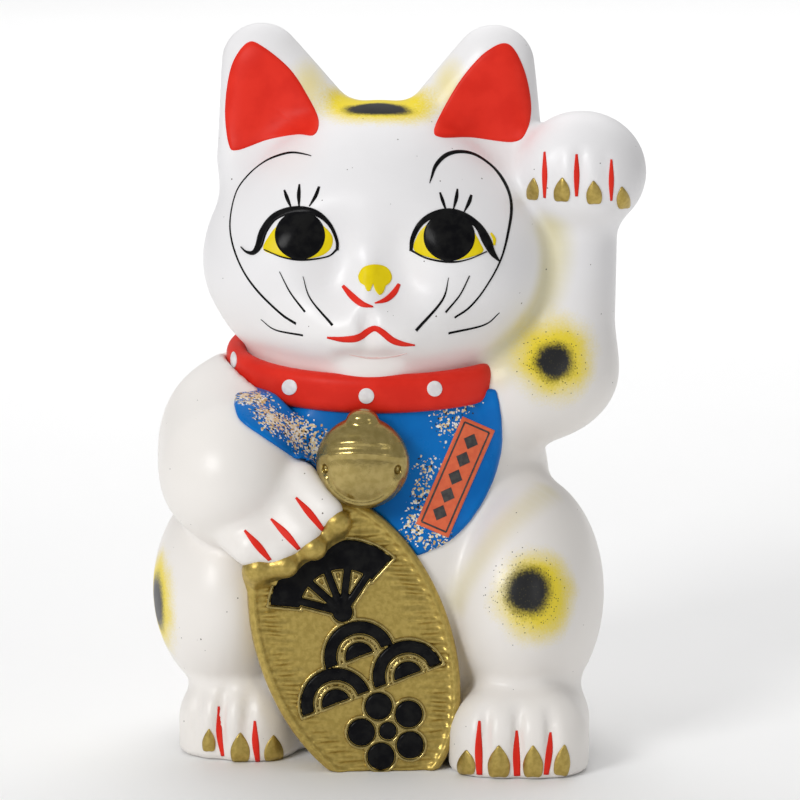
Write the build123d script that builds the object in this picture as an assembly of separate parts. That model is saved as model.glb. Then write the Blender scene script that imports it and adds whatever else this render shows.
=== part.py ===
"""A seated beckoning cat, a slip-cast earthenware coin bank about 245 mm tall.

Millimetres, +Z up, the cat faces -Y and +X is its left side, where the paw is raised. Body and head are
hollow castings with one wall thickness; the arms, tail, koban coin, collar, bib and bell are solid and are
luted on face to face. A soft bung closes the hole in the base, where the coins come out.
"""
from build123d import *
import math
import os

# --- driving sizes -------------------------------------------------------------------------------
WALL = 4.2                    # slip-cast wall of body and head

# Torso: one smooth skin through ellipses, given as height, half width, front and back. The heights of
# everything from the shoulders up are measured from the neck.
BASE_HALF_WIDTH, BASE_FRONT, BASE_BACK = 48.0, -40.5, 50.5
FLANK_HEIGHT, FLANK_HALF_WIDTH, FLANK_FRONT, FLANK_BACK = 12.0, 56.5, -49.0, 58.8
HIP_HEIGHT, HIP_HALF_WIDTH, HIP_FRONT, HIP_BACK = 34.0, 62.0, -56.5, 63.8
BELLY_HEIGHT, BELLY_HALF_WIDTH, BELLY_FRONT, BELLY_BACK = 64.0, 58.7, -57.0, 59.7
CHEST_HEIGHT, CHEST_HALF_WIDTH, CHEST_FRONT, CHEST_BACK = 92.0, 54.3, -52.0, 54.0
SHOULDER_DROP, SHOULDER_HALF_WIDTH, SHOULDER_FRONT, SHOULDER_BACK = 16.0, 50.0, -47.0, 50.0
NECK_HEIGHT, NECK_HALF_WIDTH, NECK_FRONT, NECK_BACK = 128.0, 46.0, -44.0, 46.0
SHOULDER_HEIGHT = NECK_HEIGHT - SHOULDER_DROP

# Haunches and hind feet, the cat's right then its left.
HAUNCH_RADII = (28.5, 46.8, 38.6)
HAUNCH_SPREAD = 49.0          # middle of each haunch from the mid plane
RIGHT_HAUNCH_Y, RIGHT_HAUNCH_HEIGHT = -15.0, 48.5
LEFT_HAUNCH_Y, LEFT_HAUNCH_HEIGHT = -19.0, 51.0
FOOT_LENGTH, FOOT_HEIGHT, FOOT_ROUNDING = 60.0, 28.0, 16.5
RIGHT_FOOT_X, RIGHT_FOOT_FRONT, RIGHT_FOOT_HALF_WIDTH, RIGHT_FOOT_TURN = -41.0, -56.0, 20.5, -18.0
LEFT_FOOT_X, LEFT_FOOT_FRONT, LEFT_FOOT_HALF_WIDTH, LEFT_FOOT_TURN = 50.5, -73.0, 23.5, 2.0
TOE_COUNT = 4
TOE_GROOVE_RADIUS, TOE_GROOVE_DEPTH = 2.2, 0.9

# Base: a level foot with a recessed bung hole.
FLOOR_THICKNESS = 7.0
BUNG_HOLE_RADIUS = 16.0
BUNG_RECESS_RADIUS = 21.0
BUNG_RECESS_DEPTH = 3.2
BUNG_CLEARANCE = 0.3          # round the plug and round the flange
BUNG_FLANGE_THICKNESS = 2.4
BUNG_LENGTH = 9.0             # plug above the flange
BUNG_LEAD_IN = 1.5            # chamfer at the plug's end

# Coin slot, level, through the back of the shoulders.
SLOT_LENGTH, SLOT_HEIGHT = 34.0, 5.5
SLOT_DROP = 28.0              # its middle below the neck

# Head, centred a little to the cat's right of the mid plane: skull, cheeks, muzzle, nose, brows, temples,
# jaw and nape.
HEAD_X = -1.0
SKULL_RADII, SKULL_Y, SKULL_RISE = (51.2, 47.0, 44.0), 2.0, 45.5
NAPE_RADII, NAPE_Y, NAPE_RISE = (49.0, 43.5, 26.0), 1.5, 22.0
NECK_STUB = 9.0               # upright part of the neck inside the head
JAW_RADII, JAW_Y, JAW_RISE = (44.0, 40.0, 21.0), -12.0, 21.0
TEMPLE_RADII, TEMPLE_SPREAD, TEMPLE_Y, TEMPLE_RISE = (42.0, 42.0, 33.0), 14.0, 2.5, 39.0
CHEEK_RADII, CHEEK_SPREAD, CHEEK_Y, CHEEK_RISE = (32.0, 38.5, 30.0), 27.5, -5.0, 32.0
MUZZLE_RADII, MUZZLE_Y, MUZZLE_RISE = (25.0, 21.0, 16.5), -32.0, 22.0
NOSE_RADII, NOSE_Y, NOSE_RISE = (6.5, 7.5, 11.0), -45.0, 33.0
BROW_RADII, BROW_SPREAD, BROW_Y, BROW_RISE = (14.0, 9.5, 11.5), 25.5, -33.0, 41.0

# Ears: a skin through level ellipses, ending in a round tip, with a shallow hollow in front. Each ellipse
# is its height above the neck, its middle's distance from the mid plane, its half width and half depth.
EAR_ROOT = (60.0, 27.5, 24.5, 15.5)
EAR_FOOT = (68.0, 27.7, 25.6, 16.0)
EAR_LOWER = (80.0, 30.5, 22.2, 13.7)
EAR_MIDDLE = (92.0, 34.6, 17.2, 11.0)
EAR_UPPER = (104.0, 38.6, 11.8, 8.6)
EAR_TOP = (108.0, 40.0, 9.8, 7.2)
EAR_TIP_RISE, EAR_TIP_SPREAD, EAR_TIP_RADII = 105.5, 40.4, (10.1, 7.6, 9.8)
EAR_Y = 6.0
EAR_HOLLOW_RISE, EAR_HOLLOW_SPREAD, EAR_HOLLOW_Y = 86.0, 38.0, -15.0
EAR_HOLLOW_RADII = (12.0, 10.4, 22.0)

# Raised arm, on the cat's left.
UPPER_ARM_RADII = (25.5, 28.5, 23.5)
UPPER_ARM_SINK, UPPER_ARM_Y, UPPER_ARM_LIFT = 4.0, -12.0, 4.0   # its middle in from the shoulder's side
ELBOW_RADIUS, WRIST_RADIUS = 21.3, 15.2
ELBOW_STANDS_OUT = 9.5        # elbow centre outside the shoulder
ELBOW_Y, ELBOW_LIFT = -5.0, 9.5   # its height above the shoulder's
FOREARM_LENGTH = 56.5
FOREARM_LEAN, FOREARM_BACK = 7.0, 4.0   # outwards and back over the forearm's length
PAW_RADII = (21.8, 20.0, 19.0)
PAW_FORWARD, PAW_LIFT, PAW_OUT = 5.0, 18.5, 2.5   # paw centre from the wrist
PAW_GROOVE_RADIUS, PAW_GROOVE_DEPTH, PAW_GROOVE_SPACING = 2.4, 0.9, 10.2

# Resting arm, on the cat's right, down to the koban: two round forms and a mitten of four toes. Heights are
# below the neck.
REST_UPPER_RADII, REST_UPPER_X, REST_UPPER_Y, REST_UPPER_DROP = (26.8, 32.5, 29.0), -48.5, -9.0, 27.0
REST_FOREARM_RADII, REST_FOREARM_X, REST_FOREARM_Y, REST_FOREARM_DROP = (26.8, 33.5, 26.0), -47.5, -42.0, 29.5
REST_PALM_START, REST_PALM_END, REST_PALM_RADIUS = (-46.0, -48.0, -41.0), (-29.0, -50.0, -30.0), 13.5
REST_KNUCKLES = [(-47.0, -56.0, -42.0), (-39.5, -58.0, -39.0), (-31.5, -58.0, -33.5), (-24.0, -56.5, -28.0)]
REST_TIPS = [(-39.0, -66.5, -51.0), (-29.5, -68.0, -50.5), (-20.0, -67.5, -45.5), (-12.5, -64.5, -38.0)]
REST_KNUCKLE_RADIUS, REST_TIP_RADIUS = 7.6, 5.6

# Koban coin: an upright oval slab leaning on the belly.
KOBAN_HALF_WIDTH, KOBAN_HALF_HEIGHT = 32.3, 53.5
KOBAN_CENTRE_X, KOBAN_CENTRE_DROP = -3.7, 84.7     # below the neck, as the paw that holds it
KOBAN_CENTRE_HEIGHT = NECK_HEIGHT - KOBAN_CENTRE_DROP
KOBAN_STANDS_OUT = 4.0        # its face in front of the belly's bulge, at its middle
KOBAN_BACK_DEPTH = 20.0       # slab from its face into the belly's curve
KOBAN_ROLL, KOBAN_LEAN, KOBAN_TURN = 20.0, 5.0, 8.0   # top to the cat's right, top back, face to its left
KOBAN_RIM_WIDTH, KOBAN_RIM_HEIGHT = 2.6, 1.2
MOTIF_PROUD, MOTIF_STROKE = 1.3, 4.2
FAN_RADIUS, FAN_RIBS, FAN_HEIGHT = 24.5, 5, 11.5
WAVE_RADIUS, WAVE_HEIGHT = 11.9, -4.5
BLOSSOM_RADIUS, BLOSSOM_HEIGHT = 13.5, -31.5

# Collar, bib, label, bell and tail.
COLLAR_HEIGHT, COLLAR_THICKNESS, COLLAR_RISE, COLLAR_TILT = 13.4, 6.0, 0.6, 4.0
COLLAR_DOT_RADIUS, COLLAR_DOT_PROUD = 2.4, 0.7
COLLAR_DOT_ANGLES = (-72.0, -34.0, -2.0, 30.0)    # round the neck from the front, + to the cat's left
BIB_THICKNESS = 1.5
BIB_HALF_WIDTH, BIB_DEPTH, BIB_CENTRE_X, BIB_DROP = 43.0, 48.5, 2.0, 10.0   # its oval, below the neck
LABEL_LENGTH, LABEL_WIDTH, LABEL_THICKNESS = 40.0, 11.0, 0.4
LABEL_X, LABEL_DROP, LABEL_LEAN = 28.5, 31.0, 25.0
BELL_RADII = (15.6, 10.5, 15.6)
BELL_X, BELL_DROP, BELL_STANDS_OFF = -1.5, 24.4, 6.5
BELL_LOOP_RADII = (5.5, 4.0, 3.0)
BELL_SLIT_WIDTH, BELL_SLIT_DEPTH = 1.6, 2.0
BELL_BAND_RADIUS, BELL_BAND_LIFT = 1.3, 5.0
TAIL_RADIUS, TAIL_TIP_RADIUS = 9.0, 6.0
TAIL_REACH, TAIL_CURL = 29.0, 15.0

FAR = 400.0                   # longer than the whole figure, for trimming solids


# --- shapes --------------------------------------------------------------------------------------
def ellipsoid(centre, radii):
    """Ellipsoid with its radii along X, Y and Z."""
    return Pos(*centre) * scale(Sphere(1), by=radii)


def round_cone(start, end, start_radius, end_radius):
    """Two spheres joined by the cone that touches both, as one smooth solid of revolution."""
    start, end = Vector(*start), Vector(*end)
    length = (end - start).length
    sine = (start_radius - end_radius) / length
    cosine = math.sqrt(1 - sine * sine)

    def on_circle(radius, height, rise):
        """Point of the profile at a height, where the circle's own rise is the sine of its latitude."""
        return (radius * math.sqrt(max(0.0, 1 - rise * rise)), height + radius * rise)

    low_middle = on_circle(start_radius, 0, math.sin((math.asin(sine) - math.pi / 2) / 2))
    high_middle = on_circle(end_radius, length, math.sin((math.asin(sine) + math.pi / 2) / 2))
    low_edge = (start_radius * cosine, start_radius * sine)
    high_edge = (end_radius * cosine, length + end_radius * sine)
    outline = [
        ThreePointArc((0, -start_radius), low_middle, low_edge),
        Line(low_edge, high_edge),
        ThreePointArc(high_edge, high_middle, (0, length + end_radius)),
        Line((0, length + end_radius), (0, -start_radius)),
    ]
    profile = Plane.XZ * make_face(Curve() + outline)
    turned = revolve(profile, Axis.Z)
    return Plane(origin=start, z_dir=end - start) * turned


def torso(grow, top=NECK_HEIGHT):
    """The torso's skin moved out by grow, from the base to the neck."""
    stations = [
        (0.0, BASE_HALF_WIDTH, BASE_FRONT, BASE_BACK),
        (FLANK_HEIGHT, FLANK_HALF_WIDTH, FLANK_FRONT, FLANK_BACK),
        (HIP_HEIGHT, HIP_HALF_WIDTH, HIP_FRONT, HIP_BACK),
        (BELLY_HEIGHT, BELLY_HALF_WIDTH, BELLY_FRONT, BELLY_BACK),
        (CHEST_HEIGHT, CHEST_HALF_WIDTH, CHEST_FRONT, CHEST_BACK),
        (SHOULDER_HEIGHT, SHOULDER_HALF_WIDTH, SHOULDER_FRONT, SHOULDER_BACK),
        (top, NECK_HALF_WIDTH, NECK_FRONT, NECK_BACK),
    ]
    sections = [
        Pos(0, (front + back) / 2, height) * Ellipse(half + grow, (back - front) / 2 + grow)
        for height, half, front, back in stations
    ]
    return loft(sections)


def haunches(grow):
    """Both haunch ellipsoids moved out by grow."""
    radii = tuple(radius + grow for radius in HAUNCH_RADII)
    return [
        ellipsoid((-HAUNCH_SPREAD, RIGHT_HAUNCH_Y, RIGHT_HAUNCH_HEIGHT), radii),
        ellipsoid((HAUNCH_SPREAD, LEFT_HAUNCH_Y, LEFT_HAUNCH_HEIGHT), radii),
    ]


def foot(x, front, half_width, turn):
    """One hind foot: a rounded block that runs back under the haunch, its front parted into toes."""
    block = Box(half_width * 2, FOOT_LENGTH, FOOT_HEIGHT * 2)
    solid = fillet(block.edges(), FOOT_ROUNDING)
    groove_y = TOE_GROOVE_DEPTH - TOE_GROOVE_RADIUS - FOOT_LENGTH / 2
    for number in range(1, TOE_COUNT):
        across = (number * 2 / TOE_COUNT - 1) * half_width
        solid -= Pos(across, groove_y, 0) * Cylinder(TOE_GROOVE_RADIUS, FOOT_HEIGHT * 2)
    return Pos(x, front + FOOT_LENGTH / 2, 0) * Rot(Z=turn) * solid


def above(height):
    """Everything above a height, as a box."""
    return Pos(0, 0, height + FAR / 2) * Box(FAR, FAR, FAR)


def body_outside():
    """The whole outside of torso, haunches and feet, standing level."""
    solid = torso(0)
    for haunch in haunches(0):
        solid += haunch
    solid += foot(RIGHT_FOOT_X, RIGHT_FOOT_FRONT, RIGHT_FOOT_HALF_WIDTH, RIGHT_FOOT_TURN)
    solid += foot(LEFT_FOOT_X, LEFT_FOOT_FRONT, LEFT_FOOT_HALF_WIDTH, LEFT_FOOT_TURN)
    return solid & above(0)


def body_cavity():
    """The coin chamber, open at the neck."""
    hollow = torso(-WALL, NECK_HEIGHT + 1)
    for haunch in haunches(-WALL):
        hollow += haunch
    hollow &= above(FLOOR_THICKNESS)
    return hollow & (Pos(0, 0, NECK_HEIGHT + 1 - FAR / 2) * Box(FAR, FAR, FAR))


# --- castings ------------------------------------------------------------------------------------
def bung_hole():
    """The stepped hole in the base."""
    recess = Pos(0, 0, BUNG_RECESS_DEPTH / 2) * Cylinder(BUNG_RECESS_RADIUS, BUNG_RECESS_DEPTH)
    return recess + Pos(0, 0, FLOOR_THICKNESS / 2) * Cylinder(BUNG_HOLE_RADIUS, FLOOR_THICKNESS + 1)


def coin_slot():
    """The slot's cut, from the chamber out through the back."""
    return Pos(0, FAR / 2, NECK_HEIGHT - SLOT_DROP) * Box(SLOT_LENGTH, FAR, SLOT_HEIGHT)


def bung():
    """Soft bung: a flange seated in the recess and a plug up through the hole."""
    flange = Cylinder(BUNG_RECESS_RADIUS - BUNG_CLEARANCE, BUNG_FLANGE_THICKNESS)
    plug = Cylinder(BUNG_HOLE_RADIUS - BUNG_CLEARANCE, BUNG_LENGTH)
    plug = chamfer(plug.edges().sort_by(Axis.Z)[-1], BUNG_LEAD_IN)
    return (Pos(0, 0, BUNG_RECESS_DEPTH - BUNG_FLANGE_THICKNESS / 2) * flange
            + Pos(0, 0, BUNG_RECESS_DEPTH + BUNG_LENGTH / 2) * plug)


def ear(side):
    """One ear; side is -1 for the cat's right and 1 for its left."""
    sections = [
        Pos(side * spread, EAR_Y, NECK_HEIGHT + rise) * Ellipse(half_width, half_depth)
        for rise, spread, half_width, half_depth in (
            EAR_ROOT, EAR_FOOT, EAR_LOWER, EAR_MIDDLE, EAR_UPPER, EAR_TOP)
    ]
    tip = (side * EAR_TIP_SPREAD, EAR_Y, NECK_HEIGHT + EAR_TIP_RISE)
    hollow = (side * EAR_HOLLOW_SPREAD, EAR_HOLLOW_Y, NECK_HEIGHT + EAR_HOLLOW_RISE)
    return loft(sections) + ellipsoid(tip, EAR_TIP_RADII) - ellipsoid(hollow, EAR_HOLLOW_RADII)


def head_forms(grow):
    """The head without its ears moved out by grow, and the stub of neck that it sits on."""
    forms = [
        (0, SKULL_Y, SKULL_RISE, SKULL_RADII),
        (-CHEEK_SPREAD, CHEEK_Y, CHEEK_RISE, CHEEK_RADII),
        (CHEEK_SPREAD, CHEEK_Y, CHEEK_RISE, CHEEK_RADII),
        (0, MUZZLE_Y, MUZZLE_RISE, MUZZLE_RADII),
        (0, NOSE_Y, NOSE_RISE, NOSE_RADII),
        (-BROW_SPREAD, BROW_Y, BROW_RISE, BROW_RADII),
        (BROW_SPREAD, BROW_Y, BROW_RISE, BROW_RADII),
        (-TEMPLE_SPREAD, TEMPLE_Y, TEMPLE_RISE, TEMPLE_RADII),
        (TEMPLE_SPREAD, TEMPLE_Y, TEMPLE_RISE, TEMPLE_RADII),
        (0, JAW_Y, JAW_RISE, JAW_RADII),
        (0, NAPE_Y, NAPE_RISE, NAPE_RADII),
    ]
    neck_outline = Ellipse(NECK_HALF_WIDTH + grow, (NECK_BACK - NECK_FRONT) / 2 + grow)
    solid = extrude(Pos(0, (NECK_FRONT + NECK_BACK) / 2, NECK_HEIGHT) * neck_outline, NECK_STUB)
    for x, y, rise, radii in forms:
        solid += ellipsoid((HEAD_X + x, y, NECK_HEIGHT + rise), tuple(radius + grow for radius in radii))
    return solid


def head_outside():
    """The head with both ears, cut level where it sits on the neck."""
    solid = head_forms(0)
    for side in (-1, 1):
        solid += ear(side)
    return solid & above(NECK_HEIGHT)


def raised_arm_outside():
    """The beckoning arm: upper arm, forearm and a folded paw, its front parted into toes by grooves."""
    upper = (SHOULDER_HALF_WIDTH - UPPER_ARM_SINK, UPPER_ARM_Y, SHOULDER_HEIGHT + UPPER_ARM_LIFT)
    elbow = (SHOULDER_HALF_WIDTH + ELBOW_STANDS_OUT, ELBOW_Y, SHOULDER_HEIGHT + ELBOW_LIFT)
    wrist = (elbow[0] + FOREARM_LEAN, elbow[1] + FOREARM_BACK, elbow[2] + FOREARM_LENGTH)
    paw = (wrist[0] + PAW_OUT, wrist[1] - PAW_FORWARD, wrist[2] + PAW_LIFT)
    solid = ellipsoid(upper, UPPER_ARM_RADII)
    solid += round_cone(elbow, wrist, ELBOW_RADIUS, WRIST_RADIUS)
    solid += ellipsoid(paw, PAW_RADII)
    groove_y = paw[1] - PAW_RADII[1] + PAW_GROOVE_DEPTH - PAW_GROOVE_RADIUS
    for number in range(1 - TOE_COUNT // 2, TOE_COUNT // 2):
        x = paw[0] + number * PAW_GROOVE_SPACING
        low, high = (x, groove_y, paw[2] - 12), (x, groove_y + 1, paw[2] + 4)
        solid -= round_cone(low, high, PAW_GROOVE_RADIUS, PAW_GROOVE_RADIUS * 0.6)
    return solid


def below_neck(point):
    """A point given from the neck's height."""
    return (point[0], point[1], NECK_HEIGHT + point[2])


def resting_arm_outside():
    """The arm that holds the koban: upper arm, forearm and a paw of four toes."""
    solid = ellipsoid(below_neck((REST_UPPER_X, REST_UPPER_Y, -REST_UPPER_DROP)), REST_UPPER_RADII)
    solid += ellipsoid(below_neck((REST_FOREARM_X, REST_FOREARM_Y, -REST_FOREARM_DROP)), REST_FOREARM_RADII)
    palm_start, palm_end = below_neck(REST_PALM_START), below_neck(REST_PALM_END)
    solid += round_cone(palm_start, palm_end, REST_PALM_RADIUS, REST_PALM_RADIUS - 0.5)
    for knuckle, tip in zip(REST_KNUCKLES, REST_TIPS):
        solid += round_cone(below_neck(knuckle), below_neck(tip), REST_KNUCKLE_RADIUS, REST_TIP_RADIUS)
    return solid


def koban_plane():
    """The face of the coin: X across it, Y up it and Z out of it, towards the viewer."""
    place = Pos(KOBAN_CENTRE_X, BELLY_FRONT - KOBAN_STANDS_OUT, KOBAN_CENTRE_HEIGHT)
    return place * Rot(Z=KOBAN_TURN) * Rot(X=90 - KOBAN_LEAN) * Rot(Z=KOBAN_ROLL)


def koban_slab():
    """The coin's slab with its raised rim."""
    outline = Ellipse(KOBAN_HALF_WIDTH, KOBAN_HALF_HEIGHT)
    inner = Ellipse(KOBAN_HALF_WIDTH - KOBAN_RIM_WIDTH, KOBAN_HALF_HEIGHT - KOBAN_RIM_WIDTH)
    slab = extrude(outline, KOBAN_RIM_HEIGHT) + extrude(outline, -KOBAN_BACK_DEPTH)
    slab -= extrude(inner, KOBAN_RIM_HEIGHT)
    return (koban_plane() * slab) & above(0)


def collar_disc():
    """The collar as a full disc, tilted down at the front, before the neck is taken out of it."""
    outline = Ellipse(NECK_HALF_WIDTH + COLLAR_THICKNESS, (NECK_BACK - NECK_FRONT) / 2 + COLLAR_THICKNESS)
    disc = extrude(outline, COLLAR_HEIGHT / 2, both=True)
    disc = fillet(disc.edges(), COLLAR_THICKNESS * 0.5)
    return Pos(0, (NECK_FRONT + NECK_BACK) / 2, NECK_HEIGHT + COLLAR_RISE) * Rot(X=COLLAR_TILT) * disc


def front_prism(outline):
    """An outline in X and Z, pushed through everything in front of the mid plane."""
    return Plane.XZ * extrude(outline, FAR)


def bell_solid():
    """The bell: a flattened ball with a band, a loop and a slit."""
    centre_y = SHOULDER_FRONT - BIB_THICKNESS - BELL_STANDS_OFF
    height = NECK_HEIGHT - BELL_DROP
    solid = ellipsoid((BELL_X, centre_y, height), BELL_RADII)
    band = tuple(radius + BELL_BAND_RADIUS for radius in BELL_RADII[:2]) + (BELL_BAND_RADIUS,)
    solid += ellipsoid((BELL_X, centre_y, height + BELL_BAND_LIFT), band)
    solid += ellipsoid((BELL_X, centre_y, height + BELL_RADII[2]), BELL_LOOP_RADII)
    slit_y = centre_y - BELL_RADII[1]
    slit = Box(BELL_RADII[0] * 2, BELL_SLIT_DEPTH * 2, BELL_SLIT_WIDTH)
    return solid - Pos(BELL_X, slit_y, height - BELL_RADII[2] * 0.45) * slit


def tail_solid():
    """The short tail, curled round the back of the base."""
    back = HIP_BACK
    root, bend = (0, back - 2, TAIL_RADIUS + 4), (TAIL_REACH * 0.7, back - 3, TAIL_RADIUS + 7)
    tip = (TAIL_REACH, back - 11, TAIL_RADIUS + 7 + TAIL_CURL)
    return (round_cone(root, bend, TAIL_RADIUS, TAIL_RADIUS - 1)
            + round_cone(bend, tip, TAIL_RADIUS - 1, TAIL_TIP_RADIUS)) & above(0)


def collar_dots():
    """Slip dots standing on the front of the collar."""
    half_width = NECK_HALF_WIDTH + COLLAR_THICKNESS
    half_depth = (NECK_BACK - NECK_FRONT) / 2 + COLLAR_THICKNESS
    dots = None
    for angle in COLLAR_DOT_ANGLES:
        turn = math.radians(angle)
        x, y = half_width * math.sin(turn), -half_depth * math.cos(turn)
        outward = Vector(x / half_width ** 2, y / half_depth ** 2, 0).normalized()
        start = Vector(x, y, 0) - outward * COLLAR_THICKNESS * 0.4
        dot = Plane(origin=start, z_dir=outward) * extrude(
            Circle(COLLAR_DOT_RADIUS), COLLAR_THICKNESS * 0.4 + COLLAR_DOT_PROUD)
        dots = dot if dots is None else dots + dot
    return Pos(0, (NECK_FRONT + NECK_BACK) / 2, NECK_HEIGHT + COLLAR_RISE) * Rot(X=COLLAR_TILT) * dots


def ring_sector(outer, inner, half_angle):
    """Flat sector of a ring, standing upright round +Y."""
    ring = Circle(outer) - Circle(inner)
    reach = outer * 2
    wedge = Polygon((0, 0), (-reach * math.sin(half_angle), reach * math.cos(half_angle)),
                    (0, reach), (reach * math.sin(half_angle), reach * math.cos(half_angle)), align=None)
    return ring & wedge


def fan_motif():
    """Open folding fan: a leaf over five ribs and a pivot."""
    half_angle = math.radians(63)
    shape = ring_sector(FAN_RADIUS, FAN_RADIUS * 0.58, half_angle)
    for number in range(FAN_RIBS):
        turn = (number / (FAN_RIBS - 1) - 0.5) * 2 * half_angle * 0.86
        rib = Pos(0, FAN_RADIUS * 0.32) * Rectangle(MOTIF_STROKE * 0.62, FAN_RADIUS * 0.64)
        shape += Rot(Z=math.degrees(turn)) * rib
    return shape + Circle(MOTIF_STROKE * 0.8)


def wave_motif():
    """Three scalloped waves, each an arch over a filled dome, two below and one above."""
    arch = ring_sector(WAVE_RADIUS, WAVE_RADIUS - MOTIF_STROKE, math.pi / 2)
    dome = ring_sector(WAVE_RADIUS * 0.4, 0.3, math.pi / 2)
    wave = arch + dome
    step = WAVE_RADIUS + 1
    return wave + Pos(-step, -WAVE_RADIUS) * wave + Pos(step, -WAVE_RADIUS) * wave


def blossom_motif():
    """Plum blossom: five round petals round a middle."""
    shape = Circle(BLOSSOM_RADIUS * 0.22)
    for number in range(5):
        turn = math.radians(90 + 72 * number)
        petal = Circle(BLOSSOM_RADIUS * 0.34)
        middle = BLOSSOM_RADIUS * 0.66
        shape += Pos(middle * math.cos(turn), middle * math.sin(turn)) * petal
    return shape


def koban_motifs():
    """The raised black ornaments on the coin's face."""
    placed = [(FAN_HEIGHT, fan_motif()), (WAVE_HEIGHT, wave_motif()), (BLOSSOM_HEIGHT, blossom_motif())]
    solids = None
    for height, shape in placed:
        solid = koban_plane() * extrude(Pos(0, height) * shape, MOTIF_PROUD)
        solids = solid if solids is None else solids + solid
    return solids


# --- the assembly --------------------------------------------------------------------------------
body_solid = body_outside()
head_solid = head_outside()
raised_arm_solid = raised_arm_outside()
resting_arm_solid = resting_arm_outside()
collar_solid = collar_disc()
dots_solid = collar_dots() - collar_solid
bib_skin = torso(BIB_THICKNESS)
label_skin = torso(BIB_THICKNESS + LABEL_THICKNESS)

bib_outline = Pos(BIB_CENTRE_X, NECK_HEIGHT - BIB_DROP) * Ellipse(BIB_HALF_WIDTH, BIB_DEPTH)
bib_whole = (bib_skin & front_prism(bib_outline)) - body_solid
label_outline = Rot(Z=-LABEL_LEAN) * Rectangle(LABEL_WIDTH, LABEL_LENGTH)
label_whole = label_skin & front_prism(Pos(LABEL_X, NECK_HEIGHT - LABEL_DROP) * label_outline)
bell_whole = bell_solid()
koban_solid = koban_slab()

nodes = {
    "body_shell": body_solid - body_cavity() - bung_hole() - coin_slot(),
    "head_shell": head_solid - head_forms(-WALL),
    "raised_arm": raised_arm_solid - body_solid - head_solid,
    "resting_arm": resting_arm_solid - body_solid - head_solid - collar_solid - dots_solid,
    "koban_coin": koban_solid - body_solid - resting_arm_solid - bib_whole - bell_whole - label_whole,
    "koban_motifs": koban_motifs() - resting_arm_solid - bib_whole,
    "collar": collar_solid - body_solid - head_solid - raised_arm_solid,
    "collar_dots": dots_solid - raised_arm_solid - bell_whole,
    "bib": bib_whole - collar_solid - raised_arm_solid - resting_arm_solid,
    "label_sticker": label_whole - bib_skin - collar_solid - raised_arm_solid,
    "bell": bell_whole - bib_skin - collar_solid - label_whole - resting_arm_solid - raised_arm_solid,
    "tail": tail_solid() - body_solid,
    "coin_bung": bung(),
}

whole = Compound(children=[Compound(children=shape.solids()) for shape in nodes.values()])
middle = whole.bounding_box().center()
os.makedirs("parts", exist_ok=True)
for name, shape in nodes.items():
    centred = Pos(-middle.X, -middle.Y, 0) * shape
    export_step(centred, f"parts/{name}.step")
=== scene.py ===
"""Looks of a glazed beckoning cat coin bank, laid over its CAD frame.

Shapes are worked in millimetres about the figure's upright axis: +Z up, the cat faces -Y, +X is its left.
Distance functions give the forms: each is meshed with voxels, and its points are then moved exactly onto it.
Painted lines and areas are thin closed pieces laid on those surfaces. They are placed in the front view:
across from the axis and up from the ground, along the camera's sight lines.
"""
import math
import bpy
import numpy as np
import openvdb
from mathutils import Matrix, Vector


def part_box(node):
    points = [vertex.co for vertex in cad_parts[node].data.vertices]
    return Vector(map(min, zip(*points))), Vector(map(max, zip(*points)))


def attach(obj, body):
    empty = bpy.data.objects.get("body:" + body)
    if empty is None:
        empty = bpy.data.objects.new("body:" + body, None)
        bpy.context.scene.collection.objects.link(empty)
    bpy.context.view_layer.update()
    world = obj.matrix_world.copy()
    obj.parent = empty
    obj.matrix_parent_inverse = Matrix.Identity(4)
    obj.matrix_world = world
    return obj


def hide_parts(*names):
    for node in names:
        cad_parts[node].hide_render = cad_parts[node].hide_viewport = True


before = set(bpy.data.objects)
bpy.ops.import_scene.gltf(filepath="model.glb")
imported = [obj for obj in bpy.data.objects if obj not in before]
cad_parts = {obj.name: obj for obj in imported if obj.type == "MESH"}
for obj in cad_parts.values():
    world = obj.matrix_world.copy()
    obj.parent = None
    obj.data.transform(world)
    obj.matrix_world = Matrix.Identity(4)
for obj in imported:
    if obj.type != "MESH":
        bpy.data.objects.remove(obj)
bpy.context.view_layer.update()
bung_low, bung_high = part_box("coin_bung")
AXIS = Vector(((bung_low[0] + bung_high[0]) / 2, (bung_low[1] + bung_high[1]) / 2, 0))

# --- sizes ---------------------------------------------------------------------------------------
VIEW_TURN, VIEW_RISE, VIEW_DISTANCE = 4.0, 11.0, 2200.0   # degrees to the cat's left, degrees up, mm
VIEW_CENTRE = (7.1, 112.2)    # what the camera looks at, in the front view
VIEW_WIDTH = 276.0            # of the picture, at the axis
PAINT = 0.22                  # thickness of a painted line at its middle
BLOCK = 4                     # voxels along a block, when blocks away from the surface are skipped
LOWEST = 0.02                 # height of the feet over the ground
AHEAD = 130.0                 # every sight line starts this far in front of the axis

EAR_FOOT_IN, EAR_FOOT_OUT, EAR_FOOT_HEIGHT = 14.5, 41.2, 199.4
EAR_TIP_HEIGHT, EAR_ROUNDING = 230, 14
ELBOW, WRIST, RAISED_PAW = (60, -5, 127), (66.5, -1, 178), (69, -6, 195)
SLOT_CENTRE, SLOT_HALF = (0, 60, 100), (17, 30, 2.75)
HOLE_RADIUS, HOLE_TOP = 16, 12
RECESS_RADIUS, RECESS_TOP = 21, 3.2     # round the hole, for the bung's flange
COIN_CENTRE = (-3.9, -60.3, 43.0)
COIN_HALF_WIDTH, COIN_HALF_HEIGHT = 32.3, 53.5
COIN_TURN, COIN_LEAN, COIN_TILT = 8, -5, -20.3        # degrees: about the axis, back, and to its left
CLAW_TIPS = [(-35.4, -67.4, 69.6), (-26.4, -67.6, 70.8),       # of the resting paw, over the coin's corner
             (-17.0, -66.2, 76.6), (-9.4, -63.2, 84.9)]
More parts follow.
